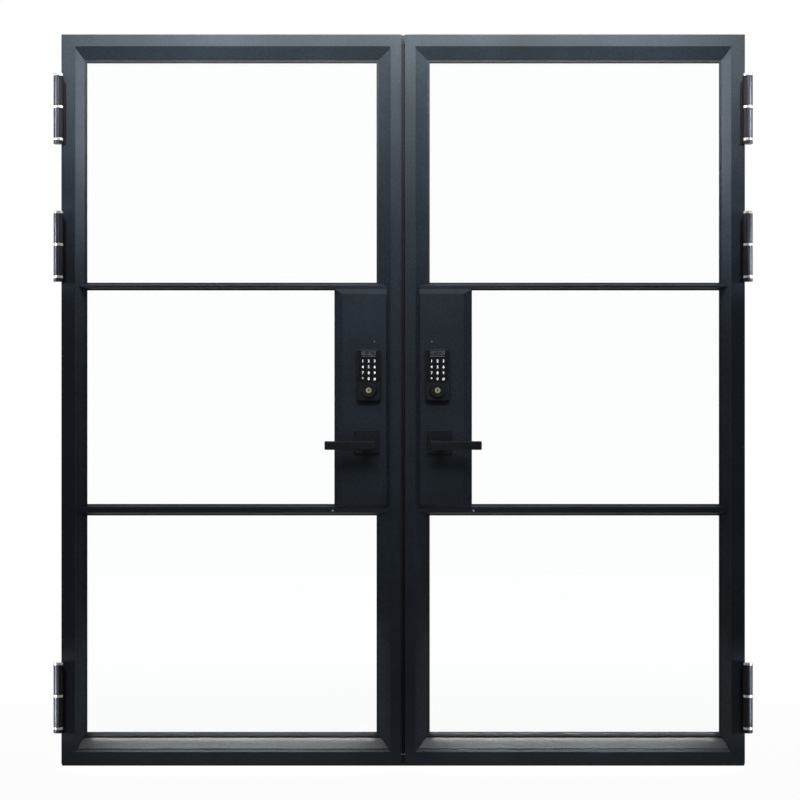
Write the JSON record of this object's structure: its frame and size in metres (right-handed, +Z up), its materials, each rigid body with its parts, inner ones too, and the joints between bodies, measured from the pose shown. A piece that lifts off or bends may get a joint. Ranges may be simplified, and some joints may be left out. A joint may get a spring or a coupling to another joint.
{
  "type": "french doors",
  "caption": "Pair of glazed steel french doors in their frame, with barrel hinges, lever handles and keypad locks, bolted into a wall opening.",
  "frame": {"origin": "centre of the threshold's underside, on the floor in the middle of the doorway", "axes": "+X across the doors to the right as seen from outside, +Y indoors, +Z up"},
  "size_m": [2.0028, 0.19, 2.1035],
  "materials": {
    "charcoal_steel": "satin charcoal powder coat",
    "clear_glass": "clear insulated glass",
    "seal_rubber": "black closing seal",
    "ring_metal": "bright bearing rings",
    "black_hardware": "satin black handle finish",
    "keypad_gloss": "glossy black touch panel",
    "guard_metal": "dark cylinder guard",
    "brass": "brass plug",
    "zinc_steel": "zinc plated steel"
  },
  "bodies": {
    "frame": {"left_jamb": "charcoal_steel", "right_jamb": "charcoal_steel", "frame_head": "charcoal_steel", "threshold": "charcoal_steel", "frame_seals": "seal_rubber", "bolt_keepers": "zinc_steel", "frame_hinge_knuckles": "charcoal_steel", "hinge_pins": "charcoal_steel", "hinge_rings": "ring_metal"},
    "left_leaf": {"left_bottom_rail": "charcoal_steel", "left_cylinder_guard": "guard_metal", "left_deadbolt_strike": "zinc_steel", "left_glazing_beads": "charcoal_steel", "left_hinge_knuckles": "charcoal_steel", "left_hinge_stile": "charcoal_steel", "left_key_plug": "brass", "left_keypad_housing": "black_hardware", "left_keypad_panel": "keypad_gloss", "left_lever_roses": "black_hardware", "left_lock_box": "charcoal_steel", "left_lock_case": "zinc_steel", "left_lower_glazing_bar": "charcoal_steel", "left_lower_pane": "clear_glass", "left_meeting_stile": "charcoal_steel", "left_middle_pane": "clear_glass", "left_top_rail": "charcoal_steel", "left_upper_glazing_bar": "charcoal_steel", "left_upper_pane": "clear_glass"},
    "right_leaf": {"right_bottom_rail": "charcoal_steel", "right_cylinder_guard": "guard_metal", "right_glazing_beads": "charcoal_steel", "right_hinge_knuckles": "charcoal_steel", "right_hinge_stile": "charcoal_steel", "right_keypad_housing": "black_hardware", "right_keypad_panel": "keypad_gloss", "right_lever_roses": "black_hardware", "right_lock_box": "charcoal_steel", "right_lock_case": "zinc_steel", "right_lower_glazing_bar": "charcoal_steel", "right_lower_pane": "clear_glass", "right_meeting_seal": "seal_rubber", "right_meeting_stile": "charcoal_steel", "right_middle_pane": "clear_glass", "right_top_rail": "charcoal_steel", "right_turn_plate": "black_hardware", "right_upper_glazing_bar": "charcoal_steel", "right_upper_pane": "clear_glass"},
    "left_lever": {"left_outside_lever": "black_hardware", "left_inside_lever": "black_hardware", "left_lever_spindle": "zinc_steel"},
    "left_upper_bolt": {"left_upper_shoot_bolt": "zinc_steel"},
    "left_lower_bolt": {"left_lower_shoot_bolt": "zinc_steel"},
    "right_lever": {"right_outside_lever": "black_hardware", "right_inside_lever": "black_hardware", "right_lever_spindle": "zinc_steel"},
    "right_upper_bolt": {"right_upper_shoot_bolt": "zinc_steel"},
    "right_lower_bolt": {"right_lower_shoot_bolt": "zinc_steel"},
    "right_turn": {"right_key_plug": "brass", "right_inside_turn": "black_hardware"},
    "right_deadbolt": {"right_deadbolt": "zinc_steel"}
  },
  "joints": [
    {"name": "left_swing", "type": "hinge", "parent": "frame", "child": "left_leaf", "pos_m": [-0.9876, -0.0644, 0], "axis": [0, 0, -1], "range_deg": [0, 110]},
    {"name": "left_lever_lift", "type": "hinge", "parent": "left_leaf", "child": "left_lever", "pos_m": [-0.1045, 0, 0.922], "axis": [0, 1, 0], "range_deg": [0, 45]},
    {"name": "left_upper_throw", "type": "slide", "parent": "left_leaf", "child": "left_upper_bolt", "axis": [0, 0, 1], "range_m": [0, 0.018]},
    {"name": "left_lower_throw", "type": "slide", "parent": "left_leaf", "child": "left_lower_bolt", "axis": [0, 0, -1], "range_m": [0, 0.018]},
    {"name": "right_swing", "type": "hinge", "parent": "frame", "child": "right_leaf", "pos_m": [0.9876, -0.0644, 0], "axis": [0, 0, 1], "range_deg": [0, 110]},
    {"name": "right_lever_lift", "type": "hinge", "parent": "right_leaf", "child": "right_lever", "pos_m": [0.1045, 0, 0.922], "axis": [0, -1, 0], "range_deg": [0, 45]},
    {"name": "right_upper_throw", "type": "slide", "parent": "right_leaf", "child": "right_upper_bolt", "axis": [0, 0, 1], "range_m": [0, 0.018]},
    {"name": "right_lower_throw", "type": "slide", "parent": "right_leaf", "child": "right_lower_bolt", "axis": [0, 0, -1], "range_m": [0, 0.018]},
    {"name": "turn", "type": "hinge", "parent": "right_leaf", "child": "right_turn", "pos_m": [0.0985, 0, 1.08], "axis": [0, 1, 0], "range_deg": [0, 90]},
    {"name": "deadbolt_throw", "type": "slide", "parent": "right_leaf", "child": "right_deadbolt", "axis": [-1, 0, 0], "range_m": [0, 0.02]}
  ],
  "couplings": [
    {"joint": "left_upper_throw", "follows": "left_lever_lift", "m_per_rad": 0.0229},
    {"joint": "left_lower_throw", "follows": "left_lever_lift", "m_per_rad": 0.0229},
    {"joint": "right_upper_throw", "follows": "right_lever_lift", "m_per_rad": 0.0229},
    {"joint": "right_lower_throw", "follows": "right_lever_lift", "m_per_rad": 0.0229},
    {"joint": "deadbolt_throw", "follows": "turn", "m_per_rad": 0.0127}
  ]
}
